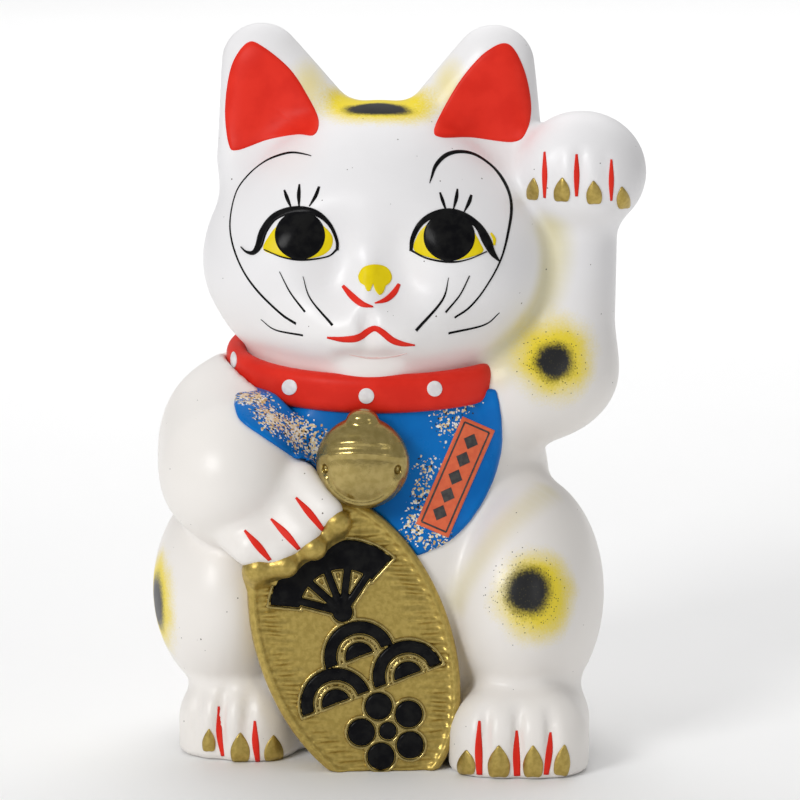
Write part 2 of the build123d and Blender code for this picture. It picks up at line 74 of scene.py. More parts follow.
COLLAR_HEIGHT, COLLAR_TILT = 128.6, 4.0
COLLAR_HALF_WIDTH, COLLAR_HALF_DEPTH = 48.5, 46.5
COLLAR_END = 40.3             # across, where the collar's front ends by the raised arm
BELL_CENTRE, BELL_RADII = (-1.5, -55.0, 103.6), (15.6, 10.5, 15.6)
GLITTER_SCALE = 1500.0        # of the cells that flakes and spray are made of
WORLD_LIGHT = 0.40


# --- the front view ------------------------------------------------------------------------------
view_turn, view_rise = math.radians(VIEW_TURN), math.radians(VIEW_RISE)
view_right = np.array((math.cos(view_turn), math.sin(view_turn), 0))
view_back = np.array((math.sin(view_turn) * math.cos(view_rise), -math.cos(view_turn) * math.cos(view_rise),
                      math.sin(view_rise)))
view_up = np.cross(view_back, view_right)
view_eye = view_right * VIEW_CENTRE[0] + view_up * VIEW_CENTRE[1] + view_back * VIEW_DISTANCE


def in_view(p):
    """Front-view across and up of the sight line through each point."""
    from_eye = p - np.float32(view_eye)
    depth = -(from_eye @ np.float32(view_back)) / VIEW_DISTANCE
    return (VIEW_CENTRE[0] + from_eye @ np.float32(view_right) / depth,
            VIEW_CENTRE[1] + from_eye @ np.float32(view_up) / depth)


# --- distance functions --------------------------------------------------------------------------
def turned(axis, degrees):
    """Rotation matrix. Points times it are in the turned shape's own axes."""
    return np.array(Matrix.Rotation(math.radians(degrees), 3, axis), np.float32)


def ellipsoid(p, centre, radii):
    """Distance to an ellipsoid with its radii along the axes, exact enough near its surface."""
    q = p - np.float32(centre)
    radii = np.float32(radii)
    inner = np.linalg.norm(q / radii, axis=1)
    slope = np.linalg.norm(q / (radii * radii), axis=1)
    return inner * (inner - 1) / np.maximum(slope, 1e-6)


def oval(x, y, half_x, half_y):
    """Distance to a flat ellipse."""
    inner = np.hypot(x / half_x, y / half_y)
    slope = np.hypot(x / half_x ** 2, y / half_y ** 2)
    return inner * (inner - 1) / np.maximum(slope, 1e-6)


def round_cone(p, start, end, start_radius, end_radius):
    """Distance to two spheres joined by the cone that touches both."""
    start, end = np.float32(start), np.float32(end)
    along = end - start
    length2 = float(along @ along)
    fall = start_radius - end_radius
    slant2 = length2 - fall * fall
    q = p - start
    low = q @ along
    high = low - length2
    off2 = ((q * length2 - along * low[:, None]) ** 2).sum(1)
    low2, high2 = low * low * length2, high * high * length2
    bend = np.sign(fall) * fall * fall * off2
    side = (np.sqrt(off2 * slant2 / length2) + low * fall) / length2 - start_radius
    past_end = np.sign(high) * slant2 * high2 > bend
    before_start = ~past_end & (np.sign(low) * slant2 * low2 < bend)
    side = np.where(past_end, np.sqrt(off2 + high2) / length2 - end_radius, side)
    return np.where(before_start, np.sqrt(off2 + low2) / length2 - start_radius, side)


def rounded_box(q, half, rounding):
    """Distance to a box about the origin with rounded edges."""
    out = np.abs(q) - (np.float32(half) - rounding)
    return np.linalg.norm(np.maximum(out, 0), axis=1) + np.minimum(out.max(1), 0) - rounding


def segment(x, y, start, end):
    """Distance to a straight line in the flat."""
    along = np.subtract(end, start)
    t = np.clip(((x - start[0]) * along[0] + (y - start[1]) * along[1]) / (along @ along), 0, 1)
    return np.hypot(x - start[0] - along[0] * t, y - start[1] - along[1] * t)


def polygon(x, y, corners):
    """Distance to a flat convex polygon, its corners given counterclockwise."""
    edges = list(zip(corners, corners[1:] + corners[:1]))
    nearest = np.min([segment(x, y, a, b) for a, b in edges], axis=0)
    left = [(b[0] - a[0]) * (y - a[1]) - (b[1] - a[1]) * (x - a[0]) > 0 for a, b in edges]
    return np.where(np.all(left, axis=0), -nearest, nearest)


def joined(a, b, blend):
    """Union of two shapes with a fillet of about this width between them."""
    near = np.maximum(blend - np.abs(a - b), 0) / blend
    return np.minimum(a, b) - near * near * blend * 0.25


def shared(a, b, blend):
    """What two shapes have in common, its edge rounded."""
    return -joined(-a, -b, blend)


def cut(a, b, blend):
    """One shape with another taken out of it, the edge rounded."""
    return -joined(-a, b, blend)


# --- the white casting ---------------------------------------------------------------------------
def torso(p):
    """The trunk, a little broader at the chest than at the hips, and the belly."""
    girth = np.interp(p[:, 2], (40, 92), (1.06, 1.145)).astype(np.float32)
    slim = np.stack((p[:, 0] / girth, p[:, 1], p[:, 2]), axis=1)
    d = round_cone(slim, (0, 5, 36), (0, 2, 104), 58, 48)
    return joined(d, ellipsoid(p, (0, -18.5, 57), (44, 34.5, 42)), 18)


def foot(p, x, front, turn, half_width):
    """A rounded block with three shallow grooves that part its toes."""
    q = (p - np.float32((x, front + 30, 0))) @ turned("Z", turn)
    d = rounded_box(q, (half_width, 30, 28), 17)
    for across in (-0.5, 0.0, 0.5):
        groove = round_cone(q, (across * half_width, -33, -4), (across * half_width * 0.9, -25, 25), 2.2, 0.8)
        d = cut(d, groove, 3.5)
    return d


def ear(p, side):
    """A rounded triangle, thinner towards its tip, with a shallow hollow in front."""
    x, y, z = p[:, 0] * side, p[:, 1] - 6, p[:, 2]
    tip_x = 40.2 if side < 0 else 38.6
    corners = [(EAR_FOOT_IN, EAR_FOOT_HEIGHT), (EAR_FOOT_OUT, EAR_FOOT_HEIGHT), (tip_x, EAR_TIP_HEIGHT)]
    outline = polygon(x, z, corners) - EAR_ROUNDING
    thickness = np.interp(z, (195, 215, 244), (17, 12, 6.5)).astype(np.float32)
    d = shared(outline, np.abs(y) - thickness, 13)
    return cut(d, ellipsoid(p, (side * 39, -16, 214), (13, 10, 22)), 8)


def head(p):
    """The skull and face without paint, and both ears."""
    d = ellipsoid(p, (0, 2, 173.5), (50, 46, 43.5))
    for side in (-1, 1):
        cheek = ellipsoid(p, (side * 27.5, -5, 162.5), (31.2, 38, 29))
        d = joined(d, cheek, 18)
    jaw = ellipsoid(p, (0, -8, 145.5), (44.5, 41, 19))
    muzzle = ellipsoid(p, (0, -32, 150), (24, 20, 15))
    nose = ellipsoid(p, (0, -45, 161), (5, 6, 9))
    d = joined(joined(joined(d, jaw, 12), muzzle, 16), nose, 14)
    for side in (-1, 1):
        lip = ellipsoid(p, (side * 8, -45, 149), (9, 7.5, 7.5))
        socket = ellipsoid(p, (side * 11.5, -57, 172), (8, 12.5, 15))
        eyeball = ellipsoid(p, (side * 25.5, -33, 169), (13, 8.5, 10))
        d = joined(cut(joined(d, lip, 6), socket, 14), eyeball, 8)
    parting = round_cone(p, (0, -54.5, 152), (0, -54.5, 142), 1.6, 1.2)
    crease = round_cone(p, (-7, -51, 136.5), (7, -51, 136.5), 1.2, 1.2)
    chin = ellipsoid(p, (0, -39, 131), (12, 8.5, 7))
    d = joined(cut(cut(d, parting, 4), crease, 7), chin, 7)
    for side in (-1, 1):
        blend = np.interp(p[:, 0] * side, (34, 50), (5, 11)).astype(np.float32)     # wider on the outside
        d = joined(d, ear(p, side), blend)
    return d


def raised_arm(p):
    """The shoulder, elbow and upright forearm, and the paw with grooves between its toes."""
    shoulder = ellipsoid(p, (48, -9, 122.5), (22, 24, 22))
    elbow = ellipsoid(p, ELBOW, (19.8, 20, 19))
    forearm = round_cone(p, ELBOW, WRIST, 20.2, 14.5)
    paw = ellipsoid(p, RAISED_PAW, (21.8, 20, 20.5))
    d = joined(joined(joined(shoulder, elbow, 8), forearm, 8), paw, 6)
    for across in (-9.7, 0.3, 10.8):
        low = (RAISED_PAW[0] + across, -28.5, 184)
        high = (RAISED_PAW[0] + across * 0.9, -24.5, 205)
        d = cut(d, round_cone(p, low, high, 2.4, 0.8), 3.5)
    return d


def resting_arm(p):
    """The round upper arm and forearm."""
    upper_arm = ellipsoid(p, (-48, -10, 102.5), (26, 31, 28))
    forearm = ellipsoid(p, (-46.3, -40, 98), (25, 32.5, 25.3))
    return joined(upper_arm, forearm, 14)


def resting_paw(p):
    """A mitten of four toes laid over the coin's corner."""
    d = round_cone(p, (-49, -46, 86.5), (-30, -49, 90), 12.2, 11)
    toes = [((-46, -54, 84), (-38.4, -65.5, 76.3), 9.5, 6.2),
            ((-38.5, -57.5, 87), (-29.1, -66, 76.2), 6.6, 5.3),
            ((-30, -57, 92), (-20.4, -64.5, 81.2), 6.6, 5.3),
            ((-22.5, -55, 97.5), (-12.7, -61.5, 88.4), 6.2, 5.0)]
    for toe in toes:
        d = joined(d, round_cone(p, *toe), 6)
    return d


def casting(p):
    """The whole outside of the glazed casting."""
    d = joined(torso(p), resting_arm(p), 14)
    collar_room = shared(oval(p[:, 0], p[:, 1], 52.4, 50.4), 119 + 0.07 * p[:, 1] - p[:, 2], 3)
    collar_room = shared(shared(collar_room, p[:, 0] + 20, 4), p[:, 1] - 2, 4)
    d = cut(d, collar_room, 3)
    right_haunch = ellipsoid(p, (-48.5, -15, 52.5), (27.5, 46, 37))
    left_haunch = ellipsoid(p, (49.8, -19, 52), (28, 46, 41))
    d = joined(joined(d, right_haunch, 3), left_haunch, 5)
    d = joined(d, foot(p, -41, -56, -18, 20.5), 6)
    d = joined(d, foot(p, 50.5, -73, 2, 23.5), 6)
    neck = round_cone(p, (0, 0, 100), (0, 0, 150), 46, 44)
    d = joined(joined(d, neck, 3), resting_paw(p), 3)
    d = joined(joined(d, raised_arm(p), 7), head(p), 4)
    tail_root = round_cone(p, (0, 61, 13), (20, 60, 16), 9, 8)
    tail_tip = round_cone(p, (20, 60, 16), (29, 52, 31), 8, 6)
    d = joined(d, joined(tail_root, tail_tip, 4), 3)
    return shared(d, -p[:, 2], 3)


def hollow_casting(p):
    """The casting with its coin chamber, coin slot and bung hole."""
    chamber = shared(round_cone(p, (0, 4, 52), (0, 2, 104), 48, 41), 8 - p[:, 2], 4)
    slot = rounded_box(p - np.float32(SLOT_CENTRE), SLOT_HALF, 1.5)
    across = np.hypot(p[:, 0], p[:, 1])
    hole = shared(across - HOLE_RADIUS, p[:, 2] - HOLE_TOP, 0.5)
    recess = shared(across - RECESS_RADIUS, p[:, 2] - RECESS_TOP, 0.5)
    d = cut(cut(casting(p), chamber, 1), slot, 1.5)
    return cut(d, np.minimum(hole, recess), 0.8)


# --- collar, bib, bell and coin ------------------------------------------------------------------
def collar(p):
    """A rounded band round the neck, its front ended by the raised arm."""
    q = (p - np.float32((0, 0, COLLAR_HEIGHT))) @ turned("X", COLLAR_TILT)
    ring = np.abs(oval(q[:, 0], q[:, 1], COLLAR_HALF_WIDTH, COLLAR_HALF_DEPTH)) - 3.6
    d = shared(ring, np.abs(q[:, 2]) - 6.7, 4.5)
    return cut(d, shared(COLLAR_END - in_view(p)[0], p[:, 1] + 8, 1), 6)


BIB_CORNERS = [(38, 123), (-46, 128), (-50, 112), (-47.8, 104), (-42.5, 98.5), (-8, 62), (3, 57.5),
               (12, 58.5), (23, 63), (30, 69.5), (35.5, 77.5), (39.5, 86), (42, 96), (41.5, 108)]
# The corners cut off, by two points on every side
BIB_OUTLINE = [(a[0] + (b[0] - a[0]) * share, a[1] + (b[1] - a[1]) * share)
               for a, b in zip(BIB_CORNERS, BIB_CORNERS[1:] + BIB_CORNERS[:1]) for share in (0.2, 0.8)]


def bib(p):
    """The bib: raised on the chest inside its front-view outline, and clear of the forearm and the paw."""
    across, up = in_view(p)
    outline = polygon(across, up, BIB_OUTLINE) - 0.6
    under_forearm = (up - 86.3 + 0.674 * (across + 20.8)) * 0.83
    outline = cut(outline, shared(under_forearm, across + 14, 2), 2)
    d = shared(casting(p) - 1.3, outline, 1.5)
    d = cut(d, resting_paw(p) - 0.9, 0.6)
    q = coin_axes(p)
    coin_room = shared(oval(q[:, 0], q[:, 2], COIN_HALF_WIDTH, COIN_HALF_HEIGHT), q[:, 1] - 9, 0.5)
    d = cut(d, coin_room, 0.3)
    d = shared(d, p[:, 1] + 12, 1)
    return shared(d, p[:, 2] - 127 - p[:, 1] * 0.07, 1)


def bell(p):
    """A hollow-cast looking ball with two ridges, a loop, two holes and a slit that ends in them."""
    x, y, z = BELL_CENTRE
    d = ellipsoid(p, BELL_CENTRE, BELL_RADII)
    for rise, radius in ((8.6, 12.4), (5.2, 14.2)):
        q = p - np.float32((x, y, z + rise))
        bow = q[:, 2] + q[:, 0] ** 2 * 0.012
        ring = np.hypot(oval(q[:, 0], q[:, 1], radius, radius * 0.68), bow) - 0.75
        d = joined(d, ring, 1.2)
    d = joined(d, ellipsoid(p, (x, y - 0.5, z + 15.2), (5.2, 4.6, 3.2)), 1.5)
    for side in (-1, 1):
        d = cut(d, ellipsoid(p, (x + side * 12.2, y - 6.2, z - 1), (1.2, 2.0, 1.6)), 0.6)
    q = p - np.float32((x, y, z - 1.5))
    lip = np.abs(np.hypot(q[:, 0] * 0.98, q[:, 2] * 1.05) - 12.2)
    band = shared(lip - 0.5, q[:, 2] + 2.5, 1)
    return d - 1.0 * np.clip(1 - band / 1.1, 0, 1) * (q[:, 1] < 0)


def coin_axes(p):
    """Points in the coin's own axes: across, out of its back, and up."""
    q = (p - np.float32(COIN_CENTRE)) @ turned("Z", COIN_TURN)
    return q @ turned("X", COIN_LEAN) @ turned("Y", COIN_TILT)


def ring_part(x, y, outer, inner, half_angle):
    """Flat distance to a sector of a ring, standing upright."""
    radius = np.hypot(x, y)
    turn = np.abs(np.arctan2(x, y))
    band = np.abs(radius - (outer + inner) / 2) - (outer - inner) / 2
    return np.maximum(band, (turn - half_angle) * radius)


def ornaments(x, y):
    """Flat distance to the raised ornaments: an open fan, three waves and a plum blossom."""
    fan_y = y - 11.5
    d = ring_part(x, fan_y, 24.5, 14.5, 1.1)
    for number in range(5):
        turn = (number / 4 - 0.5) * 1.9
        tip = (15 * math.sin(turn), 15 * math.cos(turn))
        d = np.minimum(d, segment(x, fan_y, (0, 0), tip) - 1.3)
    d = np.minimum(d, np.hypot(x, fan_y) - 3.4)
    for wave_x, wave_y in ((0, -4.5), (-12.9, -16.5), (12.9, -16.5)):
        d = np.minimum(d, ring_part(x - wave_x, y - wave_y, 11.9, 7.7, math.pi / 2))
        d = np.minimum(d, ring_part(x - wave_x, y - wave_y, 4.8, 0.2, math.pi / 2))
    for number in range(5):
        turn = math.radians(90 + 72 * number)
        petal = np.hypot(x - 8.9 * math.cos(turn), y + 31.5 - 8.9 * math.sin(turn)) - 4.6
        d = np.minimum(d, petal)
    return np.minimum(d, np.hypot(x, y + 31.5) - 3.0)


def coin(p):
    """The coin: a rim, hammered ridges by the edge and the paw's claws over its corner."""
    q = coin_axes(p)
    x, y, z = q[:, 0], q[:, 1], q[:, 2]
    edge = oval(x, z, COIN_HALF_WIDTH, COIN_HALF_HEIGHT)
    d = shared(edge, np.abs(y - 6) - 7, 1.4)
    rim = 1.3 * np.exp(-((edge + 2.0) / 1.2) ** 2)
    pitch = p[:, 2] * 1.9 + 0.7 * np.sin(x * 0.4 + z * 0.25)
    ridges = 0.75 * np.sin(pitch) * np.clip(np.sin(z * 0.23 + x * 0.15) + 1.5, 0, 1)
    ridges = ridges * np.exp(-((edge + 7.2) / 3.6) ** 2)
    d = d - (rim + ridges) * np.clip(-y, 0, 1)
    claw_root = round_cone(p, (-36, -64.5, 67.5), (-11, -60.5, 82.5), 4, 3.4)
    d = joined(d, claw_root, 6)
    for tip in CLAW_TIPS:
        d = joined(d, ellipsoid(p, tip, (4.4, 3.8, 4)), 4)
    return shared(d, -p[:, 2], 1)


def ornament_relief(p):
    """The ornaments raised from the coin's face."""
    q = coin_axes(p)
    return shared(ornaments(q[:, 0], q[:, 2]), np.abs(q[:, 1] + 1.0) - 1.3, 1.2)


def ornament_outlines(p):
    """A thin raised line round each ornament."""
    q = coin_axes(p)
    line = np.abs(ornaments(q[:, 0], q[:, 2]) - 0.75) - 0.55
    return shared(line, np.abs(q[:, 1] + 1.0) - 1.2, 0.9)


# --- meshes --------------------------------------------------------------------------------------
def evaluated(distance, points):
    """A distance function at many points, a part of them at a time."""
    parts = np.array_split(points.astype(np.float32), max(1, len(points) // 200000))
    return np.concatenate([distance(part) for part in parts]).astype(np.float32)


def slopes(distance, points, step=0.15):
    """Outward unit vectors of a distance function."""
    rise = []
    for axis in np.eye(3, dtype=np.float32) * step:
        rise.append(evaluated(distance, points + axis) - evaluated(distance, points - axis))
    rise = np.stack(rise, axis=1)
    return rise / np.maximum(np.linalg.norm(rise, axis=1, keepdims=True), 1e-9)


def settled(distance, points, limit, rounds=3):
    """Points moved onto the surface, each by no more than the limit a round."""
    for _ in range(rounds):
        depth = np.clip(evaluated(distance, points), -limit, limit)
        points = points - slopes(distance, points) * depth[:, None]
    return points


def mesh_object(name, points, faces, material, body="figure"):
    """A smooth closed piece from millimetre points, riding its body in the shared frame."""
    mesh = bpy.data.meshes.new(name)
    points = np.array(points, float)
    points[:, 2] = np.maximum(points[:, 2], LOWEST)
    placed = points / 1000 + np.array(AXIS)
    mesh.from_pydata(placed.tolist(), [], faces)
    mesh.polygons.foreach_set("use_smooth", [True] * len(mesh.polygons))
    mesh.update()
    mesh.materials.append(material)
    piece = bpy.data.objects.new(name, mesh)
    bpy.context.scene.collection.objects.link(piece)
    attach(piece, body)
    return piece


def field_mesh(name, distance, low, high, voxel, material, slot):
    """Closed quad mesh of a distance function's surface."""
    low, high = np.array(low, float), np.array(high, float)
    blocks = np.ceil((high - low) / (voxel * BLOCK)).astype(int)
    index = np.stack(np.meshgrid(*[np.arange(n) for n in blocks], indexing="ij"), -1).reshape(-1, 3)
    middles = low + (index * BLOCK + (BLOCK - 1) / 2) * voxel
    rough = evaluated(distance, middles)
    values = np.repeat(rough[:, None], BLOCK ** 3, axis=1)
    near = np.flatnonzero(np.abs(rough) < voxel * BLOCK * 1.8)
    cell = np.stack(np.meshgrid(*[np.arange(BLOCK)] * 3, indexing="ij"), -1).reshape(-1, 3)
    points = low + (index[near, None] * BLOCK + cell) * voxel
    values[near] = evaluated(distance, points.reshape(-1, 3)).reshape(len(near), -1)
    values = values.reshape(*blocks, BLOCK, BLOCK, BLOCK).transpose(0, 3, 1, 4, 2, 5).reshape(blocks * BLOCK)
    grid = openvdb.FloatGrid(voxel * 3)
    grid.copyFromArray(np.ascontiguousarray(values, np.float32))
    points, quads = grid.convertToQuads(0.0)
    points = settled(distance, points * voxel + low, voxel)
    return mesh_object(name, points, quads[:, ::-1].tolist(), material)


# --- paint ---------------------------------------------------------------------------------------
def seen(surface, points):
    """Where the sight lines through front-view points first meet a surface, or pass nearest to it."""
    flat = np.asarray(points, float)
    aims = flat[:, :1] * view_right + flat[:, 1:2] * view_up - view_eye
    aims /= np.linalg.norm(aims, axis=1, keepdims=True)
    reach = np.full(len(flat), VIEW_DISTANCE - AHEAD)
    best, best_gap = reach.copy(), np.full(len(flat), 1e9)
    for _ in range(70):
        gap = evaluated(surface, view_eye + aims * reach[:, None])
        closer = gap < best_gap
        best[closer] = reach[closer]
        best_gap[closer] = gap[closer]
        reach = reach + np.where(best_gap > 0.02, np.maximum(gap, 0.05) * 0.8, 0)
    return settled(surface, view_eye + aims * best[:, None], 1.0, 2)


def smooth_line(points, spacing, closed=False):
    """Catmull-Rom line through the points, any number of values each, about evenly spaced."""
    knots = np.asarray(points, float)
    if closed:
        knots = np.vstack((knots[-1:], knots, knots[:2]))
    else:
        knots = np.vstack((2 * knots[0] - knots[1], knots, 2 * knots[-1] - knots[-2]))
    line = []
    for a, b, c, d in zip(knots, knots[1:], knots[2:], knots[3:]):
        steps = max(2, math.ceil(np.linalg.norm((c - b)[:2]) / spacing))
        for t in np.arange(steps) / steps:
            line.append(b + 0.5 * t * (c - a + t * (2 * a - 5 * b + 4 * c - d + t * (3 * (b - c) + d - a))))
    if not closed:
        line.append(knots[-2])
    return np.array(line)


def rings_to_faces(count, rings):
    """Quads between successive closed rings of count points each."""
    faces = []
    for ring in range(rings - 1):
        for number in range(count):
            a, b = ring * count + number, ring * count + (number + 1) % count
            faces.append((a, b, b + count, a + count))
    return faces


# A brush stroke's section: shares of its half width across, and of its thickness up
SECTION = [(-1, -1.5), (-0.99, 0.6), (-0.6, 0.92), (0, 1), (0.6, 0.92), (0.99, 0.6), (1, -1.5)]


def stroke(name, surface, points, material, thickness=PAINT, broader=1.0):
    """A painted line through front-view points, given as across, up and width."""
    line = smooth_line(points, 0.9) * (1, 1, broader)
    spine = seen(surface, line)
    out = slopes(surface, spine)
    side = np.cross(np.gradient(spine, axis=0), out)
    side /= np.maximum(np.linalg.norm(side, axis=1, keepdims=True), 1e-9)
    columns = []
    for across, height in SECTION:
        row = settled(surface, spine + side * (line[:, 2:3] * across / 2), 0.6, 2)
        columns.append(row + out * height * thickness)
    rows = np.stack(columns, axis=1)
    count = len(SECTION)
    faces = rings_to_faces(count, len(rows))
    faces += [tuple(range(count - 1, -1, -1)), tuple(range(len(rows) * count - count, len(rows) * count))]
    return mesh_object(name, rows.reshape(-1, 3), faces, material)


def patch(name, surface, outline, material, thickness=PAINT, crown=0.0, centre=None, smooth=True):
    """A painted area inside a closed front-view outline, thicker by crown at its middle."""
    edge = smooth_line(outline, 1.0, closed=True) if smooth else np.asarray(outline, float)
    middle = np.asarray(centre if centre else edge.mean(axis=0), float)[:2]
    shares = (1.0, 0.985, 0.9, 0.75, 0.55, 0.3, 0.08)     # of the way out from the middle, a ring each
    flat = np.vstack([middle + (edge[:, :2] - middle) * share for share in shares])
    skin = seen(surface, flat)
    out = slopes(surface, skin)
    lift = np.array([thickness * (0.3 if share == 1 else 1) + crown * (1 - share ** 2) for share in shares])
    top = skin + out * np.repeat(lift, len(edge))[:, None]
    bottom = skin - out * thickness * 1.5
    count = len(edge)
    rings = len(shares)
    order = np.vstack((bottom.reshape(rings, count, 3)[::-1].reshape(-1, 3), top))
    faces = rings_to_faces(count, rings * 2)
    last = count * rings * 2 - count
    faces += [tuple(range(count - 1, -1, -1)), tuple(range(last, last + count))]
    return mesh_object(name, order, faces, material)


def corner_line(corners, spacing=1.5):
    """Points along the straight edges of a closed outline."""
    line = []
    for a, b in zip(corners, corners[1:] + corners[:1]):
        steps = max(1, round(math.dist(a, b) / spacing))
        line += [(a[0] + (b[0] - a[0]) * n / steps, a[1] + (b[1] - a[1]) * n / steps) for n in range(steps)]
    return line


def ellipse_line(x, y, half_x, half_y, count=12):
    """Points round an ellipse, counterclockwise."""
    angles = [2 * math.pi * n / count for n in range(count)]
    return [(x + half_x * math.cos(a), y + half_y * math.sin(a)) for a in angles]


def claw_line(x, y, half_width, height, lean=0.0):
    """A claw seen from in front: a pointed arch over a flat base, leaning by degrees to its right."""
    shape = [(-0.8, -0.5), (0, -0.52), (0.8, -0.5), (1, -0.15), (0.75, 0.15), (0.32, 0.38), (0, 0.5),
             (-0.32, 0.38), (-0.75, 0.15), (-1, -0.15)]
    cosine, sine = math.cos(math.radians(lean)), math.sin(math.radians(lean))
    scaled = [(px * half_width, py * height) for px, py in shape]
    return [(x + px * cosine + py * sine, y + py * cosine - px * sine) for px, py in scaled]


def lathe(name, profile, material, body):
    """Closed solid of revolution from (radius, height) points between two points on the axis."""
    count = 72
    rings = []
    for radius, height in profile[1:-1]:
        for number in range(count):
            angle = 2 * math.pi * number / count
            rings.append((radius * math.cos(angle), radius * math.sin(angle), height))
    faces = rings_to_faces(count, len(profile) - 2)
    points = rings + [(0, 0, profile[0][1]), (0, 0, profile[-1][1])]
    first, last = len(rings), len(rings) + 1
    top = len(rings) - count
    faces += [(first, (n + 1) % count, n) for n in range(count)]
    faces += [(last, top + n, top + (n + 1) % count) for n in range(count)]
    return mesh_object(name, points, faces, material, body)


# --- materials -----------------------------------------------------------------------------------
class Glaze:
    """A procedural material, built up as a colour that each step changes."""

    def __init__(self, name, first, second, scale):
        self.material = bpy.data.materials.new(name)
        self.material.use_nodes = True
        self.tree = self.material.node_tree
        self.shader = self.tree.nodes["Principled BSDF"]
        self.place = self.tree.nodes.new("ShaderNodeTexCoord").outputs["Object"]
        self.colour = self.mixed(self.ramp(self.noise(scale, 4.0), 0.35, 0.65), first, second)

    def node(self, kind, **settings):
        """A new shader node of this kind."""
        made = self.tree.nodes.new("ShaderNode" + kind)
        for name, value in settings.items():
            setattr(made, name, value)
        return made

    def feed(self, socket, value):
        """Links a socket, or sets its value."""
        if isinstance(value, bpy.types.NodeSocket):
            self.tree.links.new(value, socket)
        elif isinstance(value, tuple) and socket.type == "RGBA":
            socket.default_value = (*value, 1.0)
        else:
            socket.default_value = value

    def noise(self, scale, detail=2.0):
        """Cloudy values about a half."""
        made = self.node("TexNoise")
        self.feed(made.inputs["Vector"], self.place)
        made.inputs["Scale"].default_value = scale
        made.inputs["Detail"].default_value = detail
        made.inputs["Roughness"].default_value = 0.5
        return made.outputs["Fac"]

    def ramp(self, value, low, high, to_low=0.0, to_high=1.0):
        """A value eased from one range to another."""
        made = self.node("MapRange", interpolation_type="SMOOTHSTEP")
        self.feed(made.inputs["Value"], value)
        for name, number in zip(("From Min", "From Max", "To Min", "To Max"), (low, high, to_low, to_high)):
            made.inputs[name].default_value = number
        return made.outputs["Result"]

    def maths(self, operation, a, b):
        """One operation on two values."""
        made = self.node("Math", operation=operation)
        self.feed(made.inputs[0], a)
        self.feed(made.inputs[1], b)
        return made.outputs[0]

    def mixed(self, factor, a, b):
        """One colour turning into another as the factor goes from 0 to 1."""
        made = self.node("Mix", data_type="RGBA")
        self.feed(made.inputs["Factor"], factor)
        self.feed(made.inputs[6], a)
        self.feed(made.inputs[7], b)
        return made.outputs[2]

    def off(self, centre, radii):
        """How far a point is from a millimetre centre, as a share of the radii."""
        shifted = self.node("VectorMath", operation="SUBTRACT")
        self.feed(shifted.inputs[0], self.place)
        shifted.inputs[1].default_value = Vector(centre) / 1000 + AXIS
        scaled = self.node("VectorMath", operation="DIVIDE")
        self.feed(scaled.inputs[0], shifted.outputs[0])
        scaled.inputs[1].default_value = Vector(radii) / 1000
        length = self.node("VectorMath", operation="LENGTH")
        self.feed(length.inputs[0], scaled.outputs[0])
        return length.outputs["Value"]

    def spot(self, centre, radii, colour, strength=1.0, core=0.3, grain=0.25):
        """An airbrushed spot with a soft, grainy edge."""
        grains = self.noise(GLITTER_SCALE, 3.0)
        grains = self.maths("MULTIPLY", self.maths("SUBTRACT", grains, 0.5), grain * 4)
        waves = self.maths("MULTIPLY", self.maths("SUBTRACT", self.noise(110.0), 0.5), 0.3)
        reach = self.maths("ADD", self.maths("ADD", self.off(centre, radii), grains), waves)
        self.colour = self.mixed(self.ramp(reach, core, 1.0, strength, 0.0), self.colour, colour)

    def band(self, line, radius, colour, strength):
        """A soft airbrushed band on the casting along a front-view line."""
        centres = seen(casting, smooth_line(line, 3.0))
        reach = self.off(centres[0], (radius,) * 3)
        for centre in centres[1:]:
            reach = self.maths("MINIMUM", reach, self.off(centre, (radius,) * 3))
        self.colour = self.mixed(self.ramp(reach, 0.05, 1.0, strength, 0.0), self.colour, colour)

    def cells(self, scale):
        """Small random cells: two chance values of each, and the distance to its middle."""
        made = self.node("TexVoronoi")
        self.feed(made.inputs["Vector"], self.place)
        made.inputs["Scale"].default_value = scale
        chance = self.node("SeparateColor")
        self.feed(chance.inputs[0], made.outputs["Color"])
        return chance.outputs[0], chance.outputs[1], made.outputs["Distance"]

    def specks(self, scale, inner, outer, share, colour):
        """Small round specks, one in a share of the cells, that fade between two distances."""
        chance, _, distance = self.cells(scale)
        picked = self.maths("LESS_THAN", chance, share)
        inside = self.ramp(distance, inner, outer, 1.0, 0.0)
        self.colour = self.mixed(self.maths("MULTIPLY", picked, inside), self.colour, colour)

    def spray(self, centre, radius, share, colour):
        """Fine specks of spray that get fewer away from the centre."""
        wanted = self.ramp(self.off(centre, (radius,) * 3), 0.3, 1.0, share, 0.0)
        self.specks(GLITTER_SCALE, 0.2, 0.42, wanted, colour)

    def finish(self, roughness, uneven=0.06, metallic=0.0, coat=0.0, bump=0.05, bump_scale=90.0, shine=0.5):
        """Connects the colour, and gives gloss and a slightly uneven skin. Returns the material."""
        self.feed(self.shader.inputs["Base Color"], self.colour)
        gloss = self.ramp(self.noise(140.0, 3.0), 0.3, 0.7, roughness - uneven / 2, roughness + uneven / 2)
        self.feed(self.shader.inputs["Roughness"], gloss)
        self.shader.inputs["Metallic"].default_value = metallic
        self.shader.inputs["Specular IOR Level"].default_value = shine
        self.shader.inputs["Coat Weight"].default_value = coat
        self.shader.inputs["Coat Roughness"].default_value = 0.12
        relief = self.node("Bump")
        relief.inputs["Strength"].default_value = bump
        relief.inputs["Distance"].default_value = 0.001
        self.feed(relief.inputs["Height"], self.noise(bump_scale, 3.0))
        self.feed(self.shader.inputs["Normal"], relief.outputs["Normal"])
        return self.material


def mid(surface, across, up):
    """The surface point behind one front-view point."""
    return seen(surface, [(across, up)])[0]


